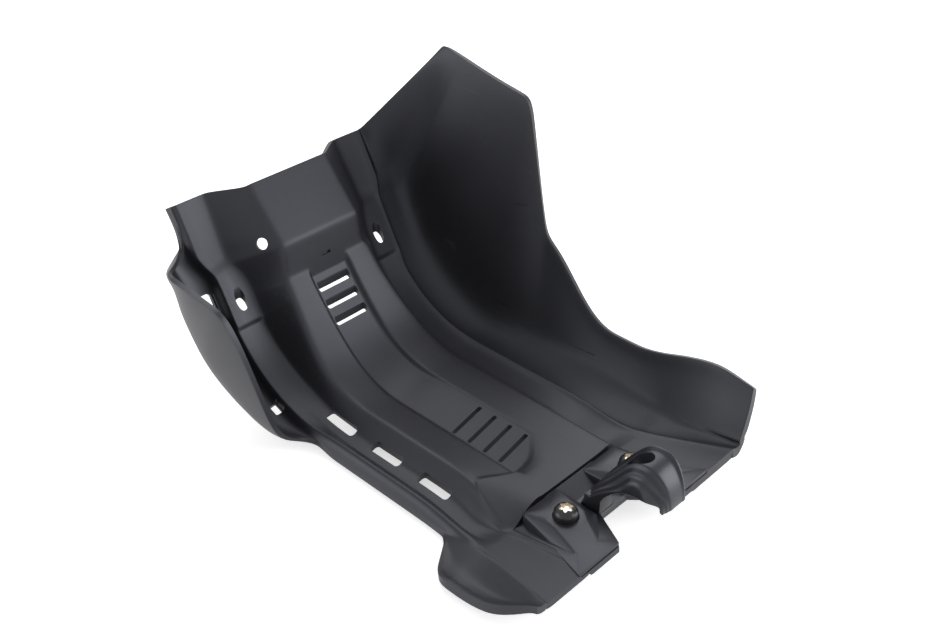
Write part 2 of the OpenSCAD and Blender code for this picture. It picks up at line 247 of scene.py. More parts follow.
class Finish:
    # the nodes of a material, or of the world
    def __init__(self, owner, output="ShaderNodeOutputMaterial"):
        owner.use_nodes = True
        self.owner, self.tree = owner, owner.node_tree
        self.tree.nodes.clear()
        self.output = self.tree.nodes.new(output)

    def node(self, kind, settings, inputs, out=0):
        made = self.tree.nodes.new(kind)
        for key, value in settings.items():
            if key == "stops":
                ramped = made.color_ramp
                while len(ramped.elements) < len(value):
                    ramped.elements.new(0.5)
                for stop, (spot, shade) in zip(ramped.elements, value):
                    stop.position = spot
                    stop.color = (shade, shade, shade, 1)
            else:
                setattr(made, key, value)
        for key, value in inputs.items():
            if isinstance(value, Socket):
                self.tree.links.new(value.link, made.inputs[key])
            else:
                made.inputs[key].default_value = value
        return Socket(self, made.outputs[out])

    def noise(self, spot, scale, detail=2.0, rough=0.5):
        return self.node("ShaderNodeTexNoise", {}, {
            "Vector": spot, "Scale": scale, "Detail": detail, "Roughness": rough})

    def steps(self, value, start, full):
        return self.node("ShaderNodeValToRGB", {"stops": [(start, 0.0), (full, 1.0)]}, {"Fac": value})

    def blend(self, factor, first, second):
        shades = [shade if isinstance(shade, Socket) else (*shade, 1) for shade in (first, second)]
        return self.node("ShaderNodeMix", {"data_type": "RGBA"}, {0: factor, 6: shades[0], 7: shades[1]}, 2)

    def shownRays(self):
        # 1 for the rays that show the background: straight ones, and those off glossy or through clear faces
        camera, glossy, clear = (self.node("ShaderNodeLightPath", {}, {}, "Is " + kind + " Ray")
                                 for kind in ("Camera", "Glossy", "Transmission"))
        return (camera + glossy + clear).clamp()

    def finish(self, shader):
        self.tree.links.new(shader.link, self.output.inputs["Surface"])
        return self.owner


def streaks(f, spot, turn, stretch, start, full):
    # fine scuffs: stretched noise cut to thin lines
    laid = f.node("ShaderNodeMapping", {}, {"Vector": spot, "Rotation": turn, "Scale": stretch})
    return f.steps(f.noise(laid, 1.0, 3.0, 0.6), start, full)


def plasticFinish(name, look):
    f = Finish(bpy.data.materials.new(name))
    spot = f.node("ShaderNodeTexCoord", {}, {}, "Object")
    cloud = f.noise(spot, look["cloudScale"], 3.0, 0.55)
    grain = f.noise(spot, look["grainScale"], 2.0, 0.6)
    patch = f.steps(f.noise(spot, look["patchScale"]), *look["patchSteps"])
    scuff = streaks(f, spot, *look["scuffAlong"]) + streaks(f, spot, *look["scuffAcross"])
    worn = (scuff * patch).clamp() * look["scuff"]
    colour = f.blend(worn, f.blend(cloud, look["dark"], look["light"]), look["scuffColour"])
    rough = look["rough"] + (cloud - 0.5) * look["roughDrift"] + worn * look["scuffRough"] \
        + (grain - 0.5) * look["grainRough"]
    relief = f.node("ShaderNodeBump", {}, {
        "Height": grain + worn * look["scuffHeight"], "Strength": look["bump"],
        "Distance": look["grainDepth"]})
    return f.finish(f.node("ShaderNodeBsdfPrincipled", {}, {
        "Base Color": colour, "Roughness": rough, "Normal": relief, "IOR": look["ior"],
        "Specular IOR Level": look["specular"], "Specular Tint": (*look["sheen"], 1)}))


def metalFinish(name, look):
    f = Finish(bpy.data.materials.new(name))
    spot = f.node("ShaderNodeTexCoord", {}, {}, "Object")
    grain = f.noise(spot, look["grainScale"], 2.0, 0.6)
    colour = f.blend(f.noise(spot, look["cloudScale"]), look["dark"], look["light"])
    relief = f.node("ShaderNodeBump", {}, {
        "Height": grain, "Strength": look["bump"], "Distance": look["grainDepth"]})
    return f.finish(f.node("ShaderNodeBsdfPrincipled", {}, {
        "Base Color": colour, "Roughness": look["rough"] + (grain - 0.5) * look["grainRough"],
        "Normal": relief, "Metallic": look["metallic"]}))


def addFloor():
    f = Finish(bpy.data.materials.new("paleFloor"))
    spot = f.node("ShaderNodeTexCoord", {}, {}, "Object")
    shade = f.blend(f.noise(spot, 3.0), [studio["floorDark"]] * 3, [studio["floorLight"]] * 3)
    diffuse = f.node("ShaderNodeBsdfDiffuse", {}, {"Color": shade})
    lift = f.shownRays() * studio["lift"]
    glow = f.node("ShaderNodeEmission", {}, {"Color": (1, 1, 1, 1), "Strength": lift})
    bm = bmesh.new()
    bmesh.ops.create_grid(bm, x_segments=2, y_segments=2, size=studio["floorSize"])
    bmesh.ops.translate(bm, vec=studio["floorPlace"], verts=bm.verts)
    floor = meshObject("floor", bm)
    floor.data.materials.append(f.finish(f.node("ShaderNodeAddShader", {}, {0: diffuse, 1: glow})))


def addRoom():
    # the room lights the object a little less brightly than it shows
    f = Finish(bpy.data.worlds.new("paleRoom"), "ShaderNodeOutputWorld")
    light, shown = (f.node("ShaderNodeBackground", {}, {"Color": (1, 1, 1, 1), "Strength": studio[key]})
                    for key in ("world", "shown"))
    scene.world = f.finish(f.node("ShaderNodeMixShader", {}, {0: f.shownRays(), 1: light, 2: shown}))


scene.view_settings.view_transform = "Standard"
addCamera()
addFloor()
addRoom()
addLamps()
print("camera, floor and light are in place")

# moulded tub, sizes in millimetres
tub = {
    "wall": 4.0, "rimCrease": 0.62,
    "deckHeight": 21.0, "deckHalf": 47.0, "deckRadius": 75.0, "firstTurn": 45.0, "gentleRadius": 250.0,
    "deckSlope": 55.0, "faceHeight": 25.0, "panelAngle": 48.0, "panelLength": 50.0, "panelHalf": 36.0,
    "deckEnd": 62.0,  # where the floor steps down to the flap that carries the bracket
    "flapFront": 66.0, "rearHalf": 100.0, "rearHeight": 25.0, "seatDepth": 2.5,
    "stripHalf": 17.0, "stripDepth": 6.5, "upperStripDepth": 3.4, "stripEnd": 97.0, "bandDrop": 4.2,
    "railHeight": 14.0, "railHalf": 78.0, "bendStart": 222.0, "bendRadius": 105.0, "rampAngle": 62.0,
    "rampLength": 87.0, "skirtDepth": 12.0, "frontSkirt": 7.0, "gutterHalf": 54.5, "gutterWiden": 3.2,
    # developed lengths: pads and slots from the end of the bend, steep face and fold, pocket and floor bend
    "padBack": 17.0, "padLength": 48.0, "slotAfter": 7.0, "faceAfter": 24.0, "foldAfter": 26.0,
    "pocketAfter": 55.0, "bendLead": 12.0,
    "recessSkew": 15.0, "recessSpan": (74.0, 150.0, 16.0), "facetFall": 0.137, "facetLean": 0.24,
    "footHalf": 111.0, "sillHeight": 43.0, "tailHeight": 60.0, "shoulderHeight": 198.0, "peakHeight": 218.0,
    "wingLean": 13.0, "peakLean": 20.0, "pocketHeight": 114.0, "pocketHalf": 116.0, "pocketDepth": 10.5,
    "earHalf": 113.0,
    # where the columns of the ear and of the tall wing's front stand, as shares of their width
    "earShares": (0.05, 0.16, 0.36, 0.58, 0.76, 0.86, 0.92, 0.97, 1.0),
    "wingShares": (0.03, 0.09, 0.15, 0.22, 0.4, 0.6, 0.8, 0.95, 1.0),
    "thinColumns": 17,  # columns of the left wing and the rail beside it, where the wall may thin
    "floorStations": (0, 1.5, 6, 16, 28, 40, 52, 58, 62, 63.5, 64.2, 67, 73, 79, 86, 91.5, 93, 97, 98.5,
                      107, 117, 130, 146, 162, 178, 190, 199, 207),
}
bendStart, railHalf, railHeight = tub["bendStart"], tub["railHalf"], tub["railHeight"]
flapFront = tub["flapFront"]
flapRise = tub["rearHeight"] - (railHeight - 3)
flapAngle = math.degrees(math.atan(flapRise / flapFront))
arcLength = math.radians(tub["rampAngle"]) * tub["bendRadius"]
railLength = bendStart + arcLength + tub["rampLength"]
padLow = bendStart + arcLength - tub["padBack"]
padHigh = padLow + tub["padLength"]
faceAt = padLow + tub["faceAfter"]
foldAt = faceAt + tub["foldAfter"]
pocketFront = bendStart + arcLength + tub["pocketAfter"]
slotAt = bendStart + arcLength + tub["slotAfter"]
deckBend = bendStart - tub["bendLead"]
bendRun = math.radians(tub["firstTurn"]) * tub["deckRadius"]
gentleRun = math.radians(tub["deckSlope"] - tub["firstTurn"]) * tub["gentleRadius"]
deckRun = bendRun + gentleRun + 15


def railPoint(s):
    # rail edge at the developed length s: x, z, slope
    if s < bendStart:
        level = railHeight if s > 128 else mix(railHeight, railHeight - 4, ramp(s, 128, 84)) \
            + (flapRise + 1) * line(s, flapFront + 10, 0)
        return s, level, 0.0
    radius, top = tub["bendRadius"], math.radians(tub["rampAngle"])
    a = min((s - bendStart) / radius, top)
    d = max(0.0, s - bendStart - arcLength)
    return (bendStart + radius * math.sin(a) + d * math.cos(top),
            railHeight + radius * (1 - math.cos(a)) + d * math.sin(top), a)


def offRail(s, y, n):
    x, z, a = railPoint(s)
    return Vector((x - n * math.sin(a), y, z + n * math.cos(a)))


def bent(d):
    r, g, first = tub["deckRadius"], tub["gentleRadius"], math.radians(tub["firstTurn"])
    if d < bendRun:
        a = d / r
        return deckBend + r * math.sin(a), tub["deckHeight"] + r * (1 - math.cos(a)), a
    a = first + (min(d, bendRun + gentleRun) - bendRun) / g
    x = deckBend + r * math.sin(first) + g * (math.sin(a) - math.sin(first))
    z = tub["deckHeight"] + r * (1 - math.cos(first)) + g * (math.cos(first) - math.cos(a))
    e = max(0.0, d - bendRun - gentleRun)
    return x + e * math.cos(a), z + e * math.sin(a), a


def flapLevel(x):
    return railHeight - 3 + max(0.0, flapFront - x) * math.tan(math.radians(flapAngle))


def middlePoint(s):
    if s < deckBend:
        return s, mix(flapLevel(s), tub["deckHeight"], deckStep(s)), 0.0
    if s < faceAt:
        return bent((s - deckBend) / (faceAt - deckBend) * deckRun)
    x, z, a = bent(deckRun)
    foldX, foldZ = x + 4, z + tub["faceHeight"]
    if s < foldAt:
        t = line(s, faceAt, foldAt)
        return mix(x, foldX, t), mix(z, foldZ, t), math.radians(mix(tub["deckSlope"], 72, line(t, 0, 0.2)))
    d = (s - foldAt) / (railLength - foldAt) * tub["panelLength"]
    a = math.radians(tub["panelAngle"])
    return foldX + d * math.cos(a), foldZ + d * math.sin(a), a


def offMiddle(s, y, n):
    x, z, a = middlePoint(s)
    return Vector((x - n * math.sin(a), y, z + n * math.cos(a)))


def stripDrop(s):
    depth = mix(tub["stripDepth"], tub["upperStripDepth"], ramp(s, deckBend, deckBend + 60))
    return depth * line(s, tub["stripEnd"] - 8, tub["stripEnd"])


def farDrop(s):
    # the strip runs level into the deck on its right along the floor
    return stripDrop(s) * mix(0.14, 1, ramp(s, deckBend - 20, deckBend + 60))


def stripPoint(s, y, drop):
    # the floor of the strip runs on under the steep face, which comes down to meet it
    if s < faceAt - 9 or drop <= 0:
        return offMiddle(skewed(s, y), y, -drop)
    x, z, a = middlePoint(faceAt)
    top = Vector((x, y, z))
    foot = top - Vector((4, 0, tub["faceHeight"])) * (drop / tub["upperStripDepth"] * 7.6 / 25.3)
    return mix(foot, top, line(s, faceAt - 9, faceAt)) if s < faceAt else offMiddle(s, y, 0)


def bandDrop(s):
    # the band on the left of the strip leans towards it along the floor
    drop = tub["bandDrop"] * line(s, tub["stripEnd"] - 4, tub["stripEnd"])
    return drop * ramp(s, deckBend + 70, deckBend + 5)


def skewed(s, y):
    # the recess in the floor ends in a slanting line on each side of the strip
    near = tub["recessSkew"] * (line(y, 22, 44) if y > 0 else line(-y, 0, 15))
    return s + near * bump(s, *tub["recessSpan"])


def deckEdge(s, side):
    if s >= faceAt:
        return tub["panelHalf"]
    e = mix(tub["deckHalf"], tub["panelHalf"] + 4, ramp(s, deckBend + 40, faceAt))
    if side < 0:
        return e
    return mix(e, e + 8.5, 0.5 * (line(s, 114, 70) + ramp(s, 114, 70))) - 1.5 * ramp(s, 70, 112)


def railEdge(s, side):
    r = railHalf + mix(1, 0, line(s, 84, 120))
    if s < 84:
        r = mix(tub["rearHalf"], railHalf + 1, ramp(s, -40, 84))
    r += 7 * ramp(s, padHigh - 4, padHigh + 18)
    return r if side > 0 else r + 3 * bump(s, padLow - 6, padHigh + 10, 14)


def railFoot(s, side):
    gutter = tub["gutterWiden"] * ramp(s, bendStart + 40, bendStart - 20) if side > 0 else 0.0
    return tub["gutterHalf"] + gutter + 2 * ramp(s, bendStart, faceAt) \
        - 0.8 * bump(s, padLow - 2, padHigh, 10) \
        + 6 * ramp(s, padHigh - 7, padHigh + 4) * (1 - 0.5 * ramp(s, padHigh + 4, railLength))


def railFlat(s):
    ramped = mix(-4, -1.6, ramp(s, bendStart - 12, bendStart + 30))
    pad = mix(0.8, -2.2, line(s, padHigh, padHigh + 8))
    return mix(-1, mix(ramped, pad, line(s, padLow + 4.5, padLow + 7)), ramp(s, 60, 84))


def deckStep(s):
    return line(s, tub["deckEnd"], tub["deckEnd"] + 1.5)


def deckPoint(s, y, n):
    # on the left the end of the deck falls away in a flat facet to where it meets the rail and the flap
    if s > 116:
        return offMiddle(s, y, n)
    out = line(y, 44, 61)
    edge = tub["deckEnd"] + 6 * out
    fall = max(0.0, tub["facetFall"] * (112 - s) + tub["facetLean"] * (y - 45.4))
    deck = tub["deckHeight"] - fall * ramp(s, 116, 108) + n
    return Vector((s, y, mix(flapLevel(s), deck, line(s, edge - 1, edge + 1.5 + 5 * out))))


def halfLeft(s):
    # from the middle outwards: strip, leaning band, soft crest, gutter, rail and its raised lip
    e, foot, r, n = deckEdge(s, 1), railFoot(s, 1), railEdge(s, 1), railFlat(s)
    drop, low, half, step = bandDrop(s), stripDrop(s), tub["stripHalf"], deckStep(s)
    wallTop = deckPoint(s, e + 2.5, -2.6 * step)
    reach = 2.5 * ramp(s, 108, 90)
    wallFoot = offRail(s, foot + reach - 0.8, n + 2 * ramp(s, 70, 90))
    lip = ramp(s, 60, 84) * ramp(s, bendStart + 20, bendStart - 20)
    return [
        stripPoint(s, half - 2.4, low),
        stripPoint(s, half - 0.4, low),
        offMiddle(skewed(s, half), half + 1.2, -min(low, drop + 0.4) if s < faceAt else 0),
        offMiddle(skewed(s, half), half + 3, -min(low, drop)),
        offMiddle(skewed(s, 32), mix(half + 4, e - 5, 0.5), -drop * 0.62),
        deckPoint(skewed(s, 44), e - 5, -drop * 0.24),
        deckPoint(s, e - 0.6, -0.2 * step),
        wallTop,
        wallMiddle(s, e + 2.5, wallFoot, 1),
        wallFoot,
        offRail(s, foot + reach + 1.2, n),
        offRail(s, mix(foot + reach, r, 0.55), mix(n, -0.8, 0.4 * (1 - lip))),
        offRail(s, r - 7.5, mix(max(n, -1), n, lip)),
        offRail(s, r - mix(4, 6, lip), mix(max(n, -0.9), -1.6, lip)),
        offRail(s, r - mix(0.9, 3, lip), mix(max(n, -0.8), 0.5, lip)),
        offRail(s, r - mix(0, 0.4, lip), mix(max(n, -0.9), -0.2, lip)),
    ]


def wallMiddle(s, e, foot, side):
    # half way down the gutter wall, evened out along the length so that the fold dies away across it
    at = deckPoint if side > 0 else offMiddle
    top = sum((at(s + k, side * e, -2) for k in (-14, 0, 14)), Vector()) / 3
    return mix(top, foot, 0.5)


def halfRight(s):
    e, foot, r, low = deckEdge(s, -1), railFoot(s, -1), railEdge(s, -1), farDrop(s)
    n = railFlat(s) + 1.2 * ramp(s, 84, 110) * ramp(s, bendStart + 20, bendStart - 20)
    half, step = tub["stripHalf"], deckStep(s)
    wallTop = offMiddle(s, -(e + 0.5), -1.2 * step)
    wallFoot = offRail(s, -(foot - 0.8), n + 1.4 * step)
    bead = ramp(s, 84, 110)
    return [
        stripPoint(s, -(half - 2.4), low),
        stripPoint(s, -(half - 0.4), low),
        offMiddle(skewed(s, -half), -(half + 1.2), 0),
        offMiddle(skewed(s, -half), -(half + 3), 0),
        offMiddle(s, -(e - 1.6), 0),
        wallTop,
        wallMiddle(s, e + 0.5, wallFoot, -1),
        wallFoot,
        offRail(s, -(foot + 1.2), n),
        offRail(s, -(r - 4), mix(n, -1.2, 0.5)),
        offRail(s, -(r - 1.6), mix(-0.6, 0.3, bead)),
        offRail(s, -(r + 0.6), mix(-0.4, 0.2, bead)),
        offRail(s, -(r + 1.8), -1.4),
    ]


def footLine(s):
    return offRail(s, -mix(tub["rearHalf"] + 2, tub["footHalf"], ramp(s, 0, 90)),
                   mix(0, mix(-2, -8, ramp(s, bendStart + 60, foldAt)), ramp(s, 30, 110)))


def wingTop(s):
    sill, shoulder, foot, high = tub["sillHeight"], tub["shoulderHeight"], bendStart - 32, bendStart + 14
    z = sill + (tub["tailHeight"] - sill) * ramp(s, 100, 26) - 4 * line(s, 26, 0) \
        + (shoulder - sill) * (0.34 * ramp(s, bendStart - 96, bendStart - 26)
                               + 0.66 * ramp(s, foot, bendStart + 16)) \
        + (tub["peakHeight"] - shoulder - 1) * line(s, high - 16, railLength) ** 1.1 \
        - 5 * line(s, railLength - 10, railLength) ** 2
    if s < foot:
        x = s + 7
    elif s < high:
        x = mix(foot + 7, bendStart - 1, ramp(s, foot - 4, high + 4))
    else:
        x = mix(bendStart - 1, bendStart + 88, line(s, high, railLength) ** 0.8)
    lean = mix(tub["wingLean"], tub["peakLean"], ramp(s, bendStart - 102, bendStart + 13))
    return Vector((x, -(tub["footHalf"] + lean), z))


def wallAt(s):
    return mix(tub["wall"] + tub["seatDepth"], tub["wall"], ramp(s, flapFront - 4, flapFront + 14))


def rightWing(s):
    g, r, foot, top = ramp(s, padHigh - 12, railLength + 4), railEdge(s, -1), footLine(s), wingTop(s)
    dip = -mix(2, min(10, railPoint(s)[1] - wallAt(s) - 1.2), ramp(s, 20, 90))
    edge = offRail(s, -r - 1.8, -1.4)
    cut = [offRail(s, -(r + 3.8), dip), offRail(s, -(r + 7), dip - 1),
           offRail(s, -(tub["footHalf"] - 6) * min(1, (r + 24) / tub["footHalf"]), dip + 0.5), foot,
           mix(foot, top, 0.22) + Vector((0, -1.5, 0)), mix(foot, top, 0.48) + Vector((0, -2, 0)),
           mix(foot, top, 0.75) + Vector((0, -1.5, 0)), mix(foot, top, 0.95), top]
    return [mix(c, mix(edge, top, along), g) for c, along in zip(cut, tub["wingShares"])]


def hang(s):
    full, front = tub["skirtDepth"], tub["frontSkirt"]
    depth = full - (full - front) * ramp(s, bendStart - 20, bendStart + 4)
    return min(railPoint(s)[1] - 2.85, depth) - 3.4 * ramp(s, pocketFront + 2, pocketFront + 16)


def pocketRim(s):
    half, height = tub["pocketHalf"], tub["pocketHeight"]
    if s > pocketFront - 8:
        return mix(Vector((bendStart + 101, half, height + 4)), offRail(s, railEdge(s, 1) + 6, 2 - hang(s)),
                   line(s, pocketFront - 8, pocketFront + 1))
    x = min(s, mix(bendStart + 13, bendStart + 101, line(s, bendStart + 10, pocketFront - 8) ** 1.5))
    y = mix(railHalf + 5, half, line(s, bendStart + 2, bendStart + 86) ** 0.5)
    z = mix(railHeight - 7, height, ramp(s, bendStart + 10, bendStart + 90)) \
        + 4 * line(s, bendStart + 90, pocketFront - 8)
    return Vector((x, y, z))


def leftWing(s):
    # skirt under the rail edge, the small rear ear with its raised lip, and the pocket
    r, ear, rim, h = railEdge(s, 1), ramp(s, 100, 70), pocketRim(s), hang(s)
    opened = ramp(s, bendStart + 1, bendStart + 26) * (1 - line(s, pocketFront - 1, pocketFront + 7))
    earEdge = mix(tub["rearHalf"] + 4, tub["earHalf"], ramp(s, 0, 34))
    span, reach, inner = rim.y - r, earEdge - r, r + 2.6
    wide = line(span, 8, 32)
    low = -mix(h + 1, tub["pocketDepth"], wide)
    front = ramp(s, pocketFront - 45, pocketFront - 8)
    heel = offRail(s, mix(inner, rim.y, mix(0.76, 0.55, front)), low + mix(5, 3, front) * wide)
    sag = Vector((0, 0.05 * span * wide, 0))
    skirt = [offRail(s, r + 1.6 + 0.3 * k, -mix(4, h, ((k - 1) / 8) ** 0.6)) for k in range(1, 10)]
    cup = [offRail(s, r + 0.9, -2.2), offRail(s, inner, low + 2.5), offRail(s, mix(inner, rim.y, 0.14), low),
           offRail(s, mix(inner, rim.y, 0.46), low), heel, mix(heel, rim, 0.3) + sag,
           mix(heel, rim, 0.65) + sag, mix(heel, rim, 0.94) + sag * 0.3, rim]
    deep = min(min(8, 0.36 * reach), railPoint(s)[1] - wallAt(s) - 1) * line(s, -4, 18)
    flare = []
    for t in tub["earShares"]:
        dish = deep * (-line(t, 0, 0.6) + 0.3 * line(t, 0.6, 1))
        lift = dish + 3 * t * line(s, 40, 0) + ramp(t, 0.84, 0.93)
        flare.append(offRail(s, mix(r, earEdge, t), lift))
    return [mix(mix(a, b, ear), c, opened) for a, b, c in zip(skirt, flare, cup)]


def wallScale(s, leftPart):
    thin = 1.0
    if leftPart:
        thin -= 0.55 * min(1, max(0, 1.6 - abs(s - bendStart - 3) / 15))
        thin -= 0.35 * min(1, max(0, 1.8 - abs(s - pocketFront + 2) / 6)) + 0.35 * ramp(s, 24, 4)
    return wallAt(s) * thin


def tubStations():
    spots = list(tub["floorStations"])
    spots += [mix(deckBend + 3, padLow - 8, k / 9) for k in range(10)]
    spots += [padLow + k for k in (1.5, 4.5, 7, 10)]
    spots += [faceAt + k for k in (-10.5, -9, -7.5, -1, 1, 10)]
    spots += [foldAt + k for k in (-4, 0, 4)]
    spots += [pocketFront + k for k in (-14, -9, -7, -4, -1, 1.5, 4, 9, 20)]
    return spots + [railLength - 3, railLength]


def gridOf(rows):
    # a sheet of faces through rows of points, and its corners by row and column
    bm = bmesh.new()
    second = bm.verts.layers.float_vector.new("second")
    tall, wide = len(rows), len(rows[0])
    bmesh.ops.create_grid(bm, x_segments=wide - 1, y_segments=tall - 1, size=1)
    cells = {}
    for v in bm.verts:
        i, j = round((v.co.y + 1) / 2 * (tall - 1)), round((v.co.x + 1) / 2 * (wide - 1))
        v.co = rows[i][j]
        cells[i, j] = v
    return bm, second, cells


def closedShell(bm, second, rimCrease=0.0):
    # adds the second skin at the points kept in the layer, and joins the two along their rims
    copied = bmesh.ops.duplicate(bm, geom=bm.verts[:] + bm.edges[:] + bm.faces[:])["geom"]
    for v in copied:
        if isinstance(v, bmesh.types.BMVert):
            v.co = v[second]
    bmesh.ops.reverse_faces(bm, faces=[f for f in copied if isinstance(f, bmesh.types.BMFace)])
    crease = bm.edges.layers.float.new("crease_edge")
    rims = [e for e in bm.edges if e.is_boundary]
    for e in rims:
        e[crease] = rimCrease
    bmesh.ops.bridge_loops(bm, edges=rims)
    bmesh.ops.recalc_face_normals(bm, faces=bm.faces)
    bm.verts.layers.float_vector.remove(second)
    return bm


def tubBody():
    spots = tubStations()
    rows = [leftWing(s)[::-1] + halfLeft(s)[::-1] + [stripPoint(s, 0, (stripDrop(s) + farDrop(s)) / 2)]
            + halfRight(s) + rightWing(s) for s in spots]
    bm, second, cells = gridOf([[point * mm for point in row] for row in rows])
    bm.normal_update()
    up = 1 if cells[len(rows) // 3, len(rows[0]) // 2].normal.z > 0 else -1
    for (i, j), v in cells.items():
        near = [cells[k] for k in ((i - 1, j), (i + 1, j)) if k in cells]
        way = v.normal + sum((w.normal for w in near), Vector()) * 0.5
        v[second] = v.co + way.normalized() * (-up * wallScale(spots[i], j < tub["thinColumns"]) * mm)
    # the crease keeps the rims thick under the subdivision
    return subdivided(meshObject("tubShell", closedShell(bm, second, tub["rimCrease"])))


def extrudeRing(bm, ring, step):
    made = bmesh.ops.extrude_edge_only(bm, edges=ring)["geom"]
    verts = [g for g in made if isinstance(g, bmesh.types.BMVert)]
    fresh = set(verts)
    bmesh.ops.translate(bm, vec=(0, 0, step), verts=verts)
    return [g for g in made if isinstance(g, bmesh.types.BMEdge) and set(g.verts) <= fresh], verts


def slotCutter(size, below, above, flare, matrix):
    # a rounded slot standing on the surface, opening out a little at its edge
    length, width, corner = size
    bm = bmesh.new()
    bmesh.ops.create_circle(bm, cap_ends=False, segments=24, radius=corner)
    for v in bm.verts:
        v.co.x += math.copysign(length / 2 - corner, v.co.x + 1e-6 * v.co.y)
        v.co.y += math.copysign(width / 2 - corner, v.co.y - 1e-6 * v.co.x)
    bmesh.ops.translate(bm, vec=(0, 0, -below), verts=bm.verts)
    ring = bm.edges[:]
    for step, wider in ((below - flare, 0.0), (2 * flare, 2 * flare), (above - flare, 0.0)):
        ring, verts = extrudeRing(bm, ring, step)
        if wider:
            bmesh.ops.scale(bm, vec=(1 + 2 * wider / length, 1 + 2 * wider / width, 1), verts=verts)
    return place(finished(bm), matrix)


def standingOn(profile, y, n):
    # the place of a cutter at the height n over a point of a side profile, and its lean
    x, z, a = profile
    return Matrix.Translation((x - n * math.sin(a), y, z + n * math.cos(a))) @ Matrix.Rotation(-a, 4, "Y")


openings = {  # a size is length, width and corner
    "mountSize": (15.0, 8.5, 3.8), "mountHalf": 66.5, "frontVent": 7.0, "frontVentPitch": 14.0,
    "ventWidth": 3.3, "ventFirst": 112.9, "ventPitch": 14.6, "ventLean": 15.0,
    "sideSize": (27.5, 7.8, 2.6), "sideFirst": 129.3, "sidePitch": 46.5, "sideRow": 59.2,
    "bore": 8.6, "boreShare": 0.31, "windowSize": (22.0, 11.0, 3.2), "windowBack": 45.5, "windowOut": 9.5,
    "drainSize": (8.5, 5.5, 1.0), "drainAt": 42.0, "drainOut": 4.6, "pocketDeep": 9.0,
    "dentSize": (1.8, 9.0, 0.7), "dentAt": 6.0, "markWidth": 1.1, "markDepth": 0.7,
    # x, z, length and turn of a mark
    "marks": ((219.7, 115.7, 12.0, 8.0), (227.3, 29.2, 17.5, 2.0), (148.2, 22.6, 24.0, 0.0)),
}


def tubCutters():
    o, half, upright = openings, tub["stripHalf"], Matrix.Translation
    length, width, corner = o["mountSize"]
    mount = (length * math.cos(math.radians(tub["rampAngle"])) + 0.8, width, corner)
    parts = [slotCutter(mount, 22, 22, 0.0, upright(offRail(slotAt, side * o["mountHalf"], 0)))
             for side in (-1, 1)]
    for k in range(3):
        spot = standingOn(bent(deckRun - 15 - o["frontVentPitch"] * k), 0, -3).to_translation()
        parts.append(slotCutter((o["frontVent"] * 0.66, 2 * half - 4, 1.6), 14, 14, 0.0, upright(spot)))
    for k in range(4):
        # the floor vents lean, so that no light comes through them towards the rear
        lean = upright((o["ventFirst"] + o["ventPitch"] * k, 0, 18)) @ turned(o["ventLean"], "Y")
        parts.append(slotCutter((o["ventWidth"], 2 * half - 4.5, 1.2), 22, 8, 0.0, lean))
    for k in range(3):
        spot = (o["sideFirst"] + o["sidePitch"] * k, o["sideRow"], railHeight - 4)
        parts.append(slotCutter(o["sideSize"], 14, 6, 0.0, upright(spot)))
    low = offMiddle(foldAt + 7, tub["panelHalf"], 0)
    high = offRail(foldAt + 7, railFoot(foldAt + 7, 1), -2)
    way = (high - low).cross(Vector((0.57, 0, 0.82))).normalized()
    parts.append(slotCutter((o["bore"], o["bore"], o["bore"] / 2 - 0.01), 10, 8, 0.15,
                            upright(mix(low, high, o["boreShare"])) @ standing(way)))
    parts.append(slotCutter(o["windowSize"], 26, 12, 0.5, standingOn(
        railPoint(pocketFront - o["windowBack"]), railHalf + o["windowOut"], -o["pocketDeep"])))
    parts.append(slotCutter(o["drainSize"], 20, 8, 0.3, standingOn(
        railPoint(bendStart + o["drainAt"]), railHalf + o["drainOut"], -o["pocketDeep"])))
    parts.append(slotCutter(o["dentSize"], 2.2, 4, 0.2, standingOn(middlePoint(faceAt + o["dentAt"]), 0, 0)))
    return joined(parts)


